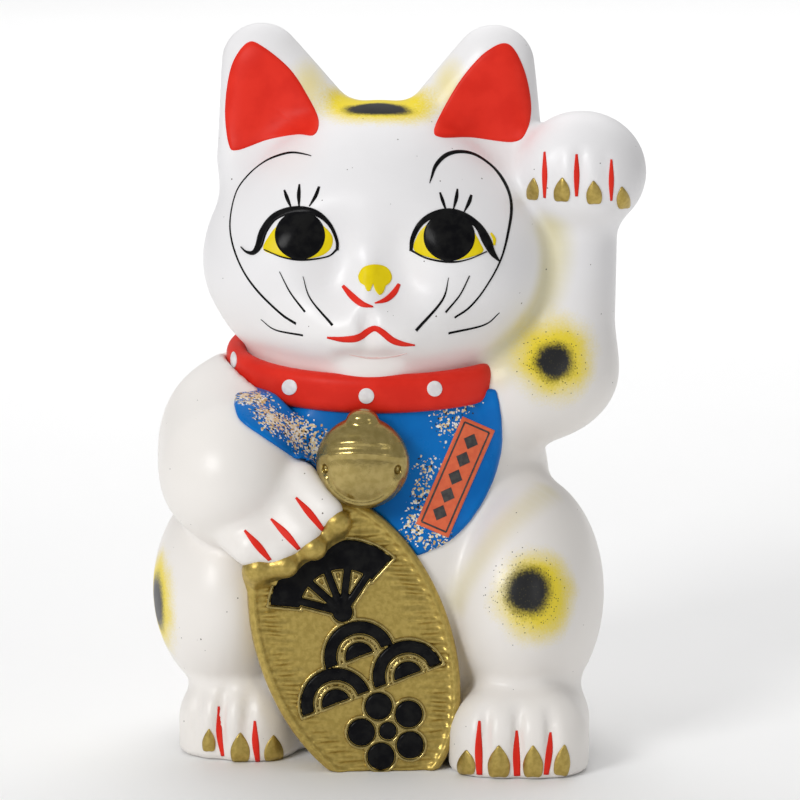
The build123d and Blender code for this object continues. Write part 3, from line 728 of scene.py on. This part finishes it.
# The second yellow is darkened to olive, as painted shade.
YELLOW, YELLOW_IN_SHADE = (0.84, 0.66, 0.005), (0.62, 0.53, 0.10)
BLACK, RED = (0.004, 0.004, 0.005), (0.78, 0.030, 0.015)
GOLD, DARK_GOLD = (0.52, 0.385, 0.105), (0.42, 0.305, 0.075)


def white_glaze():
    """White glaze with every airbrushed spot and the fine dark specks, and painted shade: a warmer, darker
    tint low down, olive yellow bands by the cheek and the haunch, and pink in the creases.
    """
    glaze = Glaze("white_glaze", (0.87, 0.86, 0.87), (0.83, 0.82, 0.83), 18.0)
    for across, up, radius in ((-30, 196, 16), (40, 196, 14), (-2, 127, 14)):     # pink wash by the ears and chin, which also darkens these creases as painted shade
        glaze.spot(mid(casting, across, up), (radius,) * 3, (0.80, 0.68, 0.65), 0.3, 0.1, 0.02)
    # Painted shade: the glaze turns warmer and a little darker towards the bottom.
    height = glaze.node("SeparateXYZ")
    glaze.feed(height.inputs[0], glaze.place)
    low_warm_shade = glaze.ramp(height.outputs["Z"], 0.11, 0.17, 1.0, 0.0)
    glaze.colour = glaze.mixed(low_warm_shade, glaze.colour, (0.86, 0.825, 0.785))
    # Airbrushed yellow bands by the cheek's edge and along the left haunch's crease, darkened to olive as
    # painted shade.
    cheek = [(59.5, 171), (60, 163), (58.5, 155), (56, 147.5), (52.5, 141), (48.5, 135.5), (44, 130),
             (41, 123)]
    glaze.band(cheek, 10, YELLOW_IN_SHADE, 0.5)
    glaze.band([(58, 81), (50, 75), (42, 67.5), (35, 58), (30, 50), (27, 43)], 8, YELLOW_IN_SHADE, 0.3)
    forearm_and_haunch = (((60.5, 125.5), (60.5, 127), 18.5, 8.8), ((51.5, 46), (55.5, 44.5), 19.5, 10.6))
    for black_place, yellow_place, radius, core in forearm_and_haunch:
        centre = mid(casting, *black_place)
        glaze.spot(mid(casting, *yellow_place), (radius,) * 3, YELLOW, 0.97, 0.40, 0.06)
        glaze.spot(centre, (core,) * 3, BLACK, 1.0, 0.5, 0.09)
        glaze.spray(centre, core * 1.65, 0.35, (0.03, 0.028, 0.01))
    glaze.spot((-75, -36, 51), (21, 21, 21), YELLOW, 1.0, 0.5, 0.08)
    glaze.spot((-76, -36, 50), (12.5, 13, 13), BLACK, 1.0, 0.55, 0.10)
    for side in (-1, 1):
        glaze.spot((side * 24, -2, 222), (9, 14, 14), YELLOW, 0.55, 0.1, 0.06)
    glaze.spot((0, -4, 216.5), (25, 19, 12), YELLOW, 1.0, 0.5, 0.08)
    glaze.spot((0, -7, 215.4), (14, 7.5, 6.5), BLACK, 1.0, 0.6, 0.08)
    glaze.specks(260.0, 0.042, 0.07, 0.22, (0.06, 0.05, 0.04))
    glaze.specks(140.0, 0.03, 0.05, 0.30, (0.10, 0.08, 0.06))
    return glaze.finish(0.40, 0.06, coat=0.06, bump=0.10, bump_scale=45.0)


def blue_glaze():
    """Blue glaze with bands of gold, cream and black glitter."""
    glaze = Glaze("blue_glaze", (0.001, 0.14, 0.49), (0.001, 0.175, 0.57), 60.0)
    chance, hue_chance, _ = glaze.cells(GLITTER_SCALE)
    heaps = None
    bands = ((-44, 113, 10, 0.9), (-37, 106, 10, 0.95), (-29, 101, 10, 0.9), (-22, 96, 9, 0.7),
             (28, 112, 9, 0.4), (24, 104, 9, 0.4), (17, 88, 8, 0.35), (16, 78, 8, 0.55), (13, 68, 8, 0.6),
             (20, 64, 7, 0.5))
    for across, up, radius, share in bands:
        reach = glaze.off(mid(bib, across, up), (radius,) * 3)
        heap = glaze.ramp(reach, 0.1, 1.0, share, 0.0)
        heaps = heap if heaps is None else glaze.maths("MAXIMUM", heaps, heap)
    picked = glaze.maths("LESS_THAN", chance, heaps)
    hue = glaze.node("ValToRGB")
    hue.color_ramp.interpolation = "CONSTANT"
    stops = [(0.0, (0.80, 0.66, 0.40)), (0.35, (0.85, 0.82, 0.72)), (0.6, (0.62, 0.40, 0.14)),
             (0.8, (0.03, 0.025, 0.02)), (0.9, (0.9, 0.88, 0.85))]
    for number, (at, colour) in enumerate(stops):
        stop = hue.color_ramp.elements[number] if number < 2 else hue.color_ramp.elements.new(at)
        stop.position = at
        stop.color = (*colour, 1)
    glaze.feed(hue.inputs[0], hue_chance)
    glaze.colour = glaze.mixed(picked, glaze.colour, hue.outputs[0])
    return glaze.finish(0.30, 0.06, shine=0.15)


def simple_glaze(name, first, second, scale, roughness, **finish):
    """A material that clouds from one colour into another."""
    return Glaze(name, first, second, scale).finish(roughness, **finish)


white = white_glaze()
blue = blue_glaze()
red = simple_glaze("red_enamel", RED, (0.72, 0.023, 0.011), 120.0, 0.45, shine=0.15)
black = simple_glaze("black_enamel", BLACK, (0.010, 0.010, 0.010), 300.0, 0.18, shine=0.06)
yellow = simple_glaze("yellow_enamel", YELLOW, (0.80, 0.62, 0.004), 300.0, 0.32, shine=0.15)
# This pink is only used for painted shade, in the crease under the lip.
pink = simple_glaze("pink_crease_shade", (0.80, 0.55, 0.52), (0.82, 0.66, 0.64), 300.0, 0.30)
slip = simple_glaze("white_slip", (0.86, 0.84, 0.84), (0.78, 0.75, 0.76), 500.0, 0.30)
gold = simple_glaze("brushed_gold", GOLD, DARK_GOLD, 700.0, 0.38, uneven=0.16, metallic=0.78, bump=0.10,
                    bump_scale=700.0)
bell_gold = simple_glaze("bell_gold", (0.45, 0.35, 0.13), (0.36, 0.275, 0.09), 400.0, 0.22, uneven=0.12,
                         metallic=0.85, bump=0.10, bump_scale=500.0)
paper = simple_glaze("orange_paper", (0.82, 0.15, 0.05), (0.76, 0.12, 0.04), 500.0, 0.45)
ink = simple_glaze("printed_black", (0.03, 0.028, 0.03), (0.06, 0.055, 0.05), 600.0, 0.42)
rubber = simple_glaze("soft_white_rubber", (0.72, 0.71, 0.67), (0.66, 0.65, 0.61), 150.0, 0.55)

# --- the forms -----------------------------------------------------------------------------------
skin = field_mesh("glazed_casting", hollow_casting, (-82, -78, -3), (96, 76, 248), 1.6, white, "white_glaze")
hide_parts("body_shell", "head_shell", "raised_arm", "resting_arm", "tail")
collar_piece = field_mesh("collar_band", collar, (-56, -54, 114), (56, 54, 144), 1.0, red, "red_glaze")
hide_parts("collar")
bib_piece = field_mesh("bib_cloth", bib, (-60, -80, 62), (50, -6, 130), 0.9, blue, "blue_glaze")
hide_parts("bib")
bell_piece = field_mesh("bell_cast", bell, (-20, -68, 86), (16, -40, 126), 0.55, bell_gold, "gold_bell")
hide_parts("bell")
coin_piece = field_mesh("koban_cast", coin, (-52, -80, -2), (40, -40, 104), 0.62, gold, "gold_koban")
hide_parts("koban_coin")
RELIEF_BOX = (-46, -78, -2), (34, -52, 96)
relief_piece = field_mesh("koban_ornaments", ornament_relief, *RELIEF_BOX, 0.5, black, "black_relief")
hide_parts("koban_motifs")
field_mesh("koban_outlines", ornament_outlines, *RELIEF_BOX, 0.5, bell_gold, "gold_koban")
bung_piece = lathe(
    "soft_bung", [(0, 1.9), (9, 1.9), (9.8, 1.7), (10.6, 1.0), (19.4, 0.85), (20.3, 1.1), (20.68, 1.8),
                  (20.6, 2.8), (20.0, 3.19), (15.69, 3.19), (15.69, 10.6), (15.3, 11.4), (14.2, 12.15),
                  (12.2, 12.15), (11.8, 11.6), (11.4, 6.4), (10.8, 6.0),
                  (0, 6.0)], rubber, "bung")
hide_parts("coin_bung")

# --- face ----------------------------------------------------------------------------------------
# Areas are front-view outlines of across and up, and lines add a width. A pupil is a middle and two radii.
EYES = {
    "right": {
        "yellow": [(-40, 164), (-38.3, 168.5), (-35, 172.5), (-30, 175), (-24, 175), (-19, 172),
                   (-16.2, 168.5), (-16.8, 164.5), (-20.5, 161.8), (-27, 160.8), (-34, 161.8)],
        "pupil": (-27.4, 169.0, 8.7, 8.4),
        "upper": [(-47.7, 165, 0.3), (-46, 163.4, 0.6), (-43.6, 163, 1.2), (-41.6, 165.4, 2.2),
                  (-39.9, 170.6, 2.5), (-35.8, 175.6, 2.3), (-29, 177.8, 2.0), (-22.1, 176.8, 1.6),
                  (-17.2, 172.8, 1.0), (-14.7, 167.3, 0.8), (-14.6, 163.9, 0.8)],
        "lower": [(-14.7, 164.2, 0.8), (-17.9, 161.7, 0.5), (-26.2, 160.5, 0.6), (-33.2, 161.4, 0.5),
                  (-39.8, 164.1, 0.4)],
        "lashes": [[(-32.8, 184.6, 0.5), (-31.8, 181.8, 1.0), (-30.4, 178.4, 0.4)],
                   [(-27.6, 186.6, 0.5), (-27.8, 183, 1.1), (-27.7, 178.9, 0.4)],
                   [(-20.8, 185.8, 0.7), (-22, 182.6, 1.0), (-24.2, 179, 0.3)]],
        "arc": [(-23.5, 196.4, 0.2), (-25.2, 196.9, 0.4), (-29.7, 197.6, 0.7), (-33.9, 196.9, 1.0),
                (-39.4, 194.6, 0.9), (-45, 190.1, 0.7), (-49.4, 183.9, 0.6), (-51.5, 174.2, 0.6),
                (-50.6, 165.8, 0.6), (-47, 156.8, 0.6), (-41.5, 149.2, 0.7), (-33.9, 141.9, 0.7),
                (-28.8, 138.5, 0.8)],
        "whiskers": [[(-34.5, 156.5, 0.25), (-30.7, 149.2, 0.5), (-25.7, 142.6, 0.7)],
                     [(-26.4, 154.8, 0.2), (-23.8, 147.1, 0.5), (-16.2, 138, 0.9)],
                     [(-40.9, 140, 0.2), (-35.9, 136.4, 0.5), (-26.4, 134.5, 0.7)]],
        "ear": [(-45.5, 235.5), (-40, 234), (-31, 226.5), (-25, 217.5), (-21, 209), (-22.5, 203.7),
                (-28.5, 203.8), (-38.5, 202), (-49, 198.4), (-52, 200.5), (-53.2, 213), (-51, 227.5)],
    },
    "left": {
        "yellow": [(11.9, 164), (12.9, 168.5), (15.5, 172), (20, 174.5), (27, 174.5), (32, 171), (35, 166),
                   (35.7, 163.3), (30.5, 161.2), (24.4, 160.3), (17, 161.4)],
        "pupil": (24.1, 168.6, 8.9, 8.5),
        "upper": [(10.9, 163.6, 0.8), (11.5, 168, 1.2), (14, 172.8, 1.4), (18.1, 175.9, 1.6),
                  (23.7, 177.3, 1.6), (29.2, 175.9, 1.7), (34.1, 172.1, 2.1), (36.9, 167.3, 2.8),
                  (38.9, 163.1, 1.8), (41.4, 160, 0.3)],
        "lower": [(11, 163.8, 0.7), (16.7, 161, 0.6), (24.4, 159.8, 0.7), (30.6, 160.7, 0.4),
                  (37, 163.4, 0.4)],
        "lashes": [[(20.9, 183.8, 0.5), (21.8, 181, 0.9), (23, 177.5, 0.4)],
                   [(26.9, 185, 0.5), (26.5, 181.8, 1.0), (25.5, 178, 0.3)],
                   [(31.7, 182.9, 0.7), (30.9, 180.4, 1.0), (29.2, 177.1, 0.3)]],
        "arc": [(17.3, 187, 0.2), (18, 189.1, 0.6), (19.5, 193.2, 1.1), (23, 196.7, 1.3),
                (27.8, 197.9, 1.3), (33.4, 196.7, 1.3), (39.6, 192.2, 1.3), (43.8, 186, 1.3),
                (45.5, 179.7, 1.1), (44.8, 172.1, 0.9), (42, 161, 0.6), (36.8, 151.3, 0.5),
                (31.3, 144.4, 0.6), (25.9, 140.6, 0.6)],
        "whiskers": [[(23.9, 154.4, 0.2), (21.6, 146.5, 0.7), (12.6, 136.1, 1.0)],
                     [(31.1, 155.1, 0.4), (27.8, 148.5, 0.5), (22.8, 142.4, 0.7)],
                     [(41.4, 142.3, 0.3), (36.1, 138.1, 0.6), (23.8, 135.2, 0.8)]],
        "ear": [(44.5, 235), (37, 232.5), (29, 224), (22.5, 213.5), (18.8, 205.2), (21.5, 202.8),
                (31.5, 202.8), (46, 201.2), (50.8, 205), (52.3, 214), (49.8, 226.5)],
    },
}
for side, eye in EYES.items():
    patch(f"{side}_iris", casting, eye["yellow"], yellow, 0.12)
    patch(f"{side}_pupil", casting, ellipse_line(*eye["pupil"], 16), black, 0.22, crown=0.35)
    stroke(f"{side}_upper_lid", casting, eye["upper"], black, 0.45, 1.3)
    stroke(f"{side}_lower_lid", casting, eye["lower"], black, 0.30)
    stroke(f"{side}_brow_arc", casting, eye["arc"], black, broader=1.15)
    for number, line in enumerate(eye["lashes"], 1):
        stroke(f"{side}_lash_{number}", casting, line, black, broader=1.25)
    for number, line in enumerate(eye["whiskers"], 1):
        stroke(f"{side}_whisker_{number}", casting, line, black)
    patch(f"{side}_inner_ear", casting, eye["ear"], red, 0.35)
stroke("left_eye_corner_dab", casting, [(38.4, 169.8, 0.8), (39.6, 167.8, 1.4), (39.6, 165.6, 0.8)], yellow)

NOSE = [(-1.5, 159), (2.5, 158), (4.3, 155), (3.6, 152.6), (2.2, 151.6), (1.4, 149.4), (0, 148.4),
        (-1.5, 150.2), (-2.3, 152.4), (-3.2, 149.9), (-4.4, 150), (-5.2, 151.8), (-6.6, 152.6), (-7.3, 155),
        (-5.5, 158)]
patch("nose", casting, NOSE, yellow, 0.25, centre=(-1.5, 154.4))
MOUTH = {
    "nose_line_right": [(-12.6, 151.6, 0.9), (-9.6, 148.2, 1.7), (-6.1, 145.4, 1.6), (-2.2, 144.4, 0.4)],
    "nose_line_left": [(6.8, 152.2, 0.9), (5, 149.2, 1.6), (2.2, 146.8, 1.4), (-1.6, 145.6, 0.3)],
    "mouth": [(-18, 133.7, 0.5), (-12.4, 133.1, 1.6), (-7.5, 133.6, 2.0), (-4, 135.9, 1.7),
              (-1.6, 136.9, 1.5), (0.8, 135.7, 1.7), (4.3, 132.9, 1.8), (7.7, 131.6, 1.5),
              (12.2, 131.1, 0.4)],
}
for name, line in MOUTH.items():
    stroke(name, casting, line, red, 0.28, 1.25)
# Painted shade: a thin pink line darkens the crease under the lip.
stroke("lip_crease_shade", casting, [(-10.5, 127.8, 0.3), (-5, 126.9, 0.8), (0, 126.7, 0.9), (5, 127.2, 0.7),
                               (9.5, 128.3, 0.3)], pink, 0.1)

# --- paws ----------------------------------------------------------------------------------------
TOE_LINES = {
    "raised_paw": [[(57, 197.8, 0.8), (57, 190, 2.0), (57, 182, 1.0)],
                   [(68, 197, 0.8), (68, 190, 2.0), (68, 182.5, 1.0)],
                   [(80, 195.2, 0.7), (80, 188, 1.8), (80, 181, 0.8)]],
    "resting_paw": [[(-46.5, 67.2, 0.8), (-42, 62, 2.4), (-37.8, 57, 1.4)],
                    [(-37.4, 71.2, 0.8), (-32.5, 66.2, 2.4), (-27.8, 60.8, 1.4)],
                    [(-28.8, 78.5, 0.8), (-24, 73, 2.4), (-19.2, 67, 1.4)]],
    "left_foot": [[(34.5, 1.5, 0.8), (34.2, -8, 2.6), (34.5, -17, 2.0)],
                  [(47.3, -1.8, 0.8), (47.2, -9, 2.7), (47.5, -17.4, 2.2)],
                  [(59, -2.4, 0.8), (58.5, -9, 2.6), (57.5, -17, 1.8)]],
    "right_foot": [[(-55.5, 6.5, 0.8), (-55.3, -2, 2.2), (-54, -10.6, 1.4)],
                   [(-43, 1.5, 0.8), (-42.8, -5.5, 2.4), (-42, -12.4, 1.6)]],
}
for paw, lines in TOE_LINES.items():
    for number, line in enumerate(lines, 1):
        stroke(f"{paw}_toe_line_{number}", casting, line, red, 0.3)
CLAWS = {     # across, up, half width, height and lean
    "raised_paw": [(53, 185.2, 2.1, 7.4, 4), (63, 185, 2.8, 8, 2), (74, 184, 2.7, 7.8, -2),
                   (84, 182.2, 2.3, 7.4, -6)],
    "left_foot": [(30, -12.6, 3.1, 8.2, 0), (41.2, -12.2, 3.8, 10.6, 0), (53, -12.2, 3.4, 10.6, 0),
                  (63.2, -11.8, 2.7, 10.4, 8)],
    "right_foot": [(-58.8, -5, 2.2, 7.6, 0), (-48, -7.4, 3.3, 9.8, 0), (-36.5, -8, 3.3, 9.2, 0)],
}
for paw, claws in CLAWS.items():
    for number, claw in enumerate(claws, 1):
        patch(f"{paw}_claw_{number}", casting, claw_line(*claw), gold, 0.3, crown=0.7)

# --- collar dots and label -----------------------------------------------------------------------
DOTS = [(-50.2, 126, 1.0, 2.8), (-31, 116.6, 2.6, 2.7), (-4.5, 113.6, 2.7, 2.7), (19, 116.1, 2.6, 2.7)]
for number, dot in enumerate(DOTS, 1):
    dot_piece = patch(f"collar_dot_{number}", collar, ellipse_line(*dot), slip, 0.3, crown=0.3)
    if number == 1:
        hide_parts("collar_dots")
LABEL_MIDDLE, LABEL_HALF_WIDTH, LABEL_HALF_LENGTH, LABEL_TURN = (26.2, 85.6), 6.1, 20.2, 23.5
BORDER_INSET, LOZENGE_PITCH, LOZENGE_HALF_WIDTH, LOZENGE_HALF_LENGTH = 1.5, 6.7, 2.6, 2.9


def on_label(x, y):
    """A front-view point from a place on the label: across it, and along it to its top."""
    angle = math.radians(LABEL_TURN)
    return (LABEL_MIDDLE[0] + x * math.cos(angle) + y * math.sin(angle),
            LABEL_MIDDLE[1] - x * math.sin(angle) + y * math.cos(angle))


def label_frame(half_width, half_length):
    """The four corners of an upright frame on the label."""
    return [on_label(-half_width, -half_length), on_label(half_width, -half_length),
            on_label(half_width, half_length), on_label(-half_width, half_length)]


def label_skin(p):
    """The surface of the paper on the bib."""
    return bib(p) - 0.3


label_piece = patch("label_paper", bib, corner_line(label_frame(LABEL_HALF_WIDTH, LABEL_HALF_LENGTH)), paper,
                    0.3, smooth=False)
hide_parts("label_sticker")
border = label_frame(LABEL_HALF_WIDTH - BORDER_INSET, LABEL_HALF_LENGTH - BORDER_INSET)
for number, (a, b) in enumerate(zip(border, border[1:] + border[:1]), 1):
    stroke(f"label_border_{number}", label_skin, [(*a, 0.6), (*b, 0.6)], ink, 0.12)
for number in range(5):
    y = (number - 2) * LOZENGE_PITCH
    lozenge = [on_label(0, y - LOZENGE_HALF_LENGTH), on_label(LOZENGE_HALF_WIDTH, y),
               on_label(0, y + LOZENGE_HALF_LENGTH), on_label(-LOZENGE_HALF_WIDTH, y)]
    patch(f"label_lozenge_{number + 1}", label_skin, corner_line(lozenge, 0.8), ink, 0.12,
          smooth=False)

# --- camera, light and floor ---------------------------------------------------------------------
camera = bpy.data.objects.new("camera", bpy.data.cameras.new("camera"))
bpy.context.scene.collection.objects.link(camera)
basis = Matrix((view_right, view_up, view_back)).transposed().to_4x4()
camera.matrix_world = Matrix.Translation(Vector(view_eye) / 1000 + AXIS) @ basis
camera.data.sensor_width = 36
camera.data.lens = 36 * VIEW_DISTANCE / VIEW_WIDTH
camera.data.clip_start, camera.data.clip_end = 0.1, 100
bpy.context.scene.camera = camera


def softbox(name, where, size, power, aim=(0, 0, 0.12), mirrored=True):
    """A large soft light aimed at a point, which the glaze mirrors or not."""
    lamp = bpy.data.objects.new(name, bpy.data.lights.new(name, "AREA"))
    lamp.data.size = size
    lamp.data.energy = power
    lamp.location = where
    lamp.visible_glossy = mirrored
    lamp.rotation_mode = "QUATERNION"
    lamp.rotation_quaternion = (Vector(where) - Vector(aim)).to_track_quat("Z", "Y")
    bpy.context.scene.collection.objects.link(lamp)


softbox("key_light", (-0.95, -1.35, 1.05), 0.6, 15)
softbox("fill_light", (1.3, -1.3, 0.6), 0.5, 1.2)
softbox("top_light", (-0.2, 0.2, 1.8), 1.2, 5, mirrored=False)
softbox("back_light", (0.0, 1.5, 1.6), 1.6, 27, (0, 1.5, 0), mirrored=False)

world = bpy.data.worlds.new("studio")
world.use_nodes = True
world.node_tree.nodes["Background"].inputs["Color"].default_value = (1, 1, 1, 1)
world.node_tree.nodes["Background"].inputs["Strength"].default_value = WORLD_LIGHT
bpy.context.scene.world = world
bpy.context.scene.view_settings.view_transform = "Standard"

bpy.ops.mesh.primitive_plane_add(size=60)
floor = bpy.context.object
floor.name = "floor"
floor_paint = simple_glaze("pale_floor", (0.90, 0.90, 0.90), (0.88, 0.88, 0.88), 2.0, 0.6, bump=0.0)
floor.data.materials.append(floor_paint)
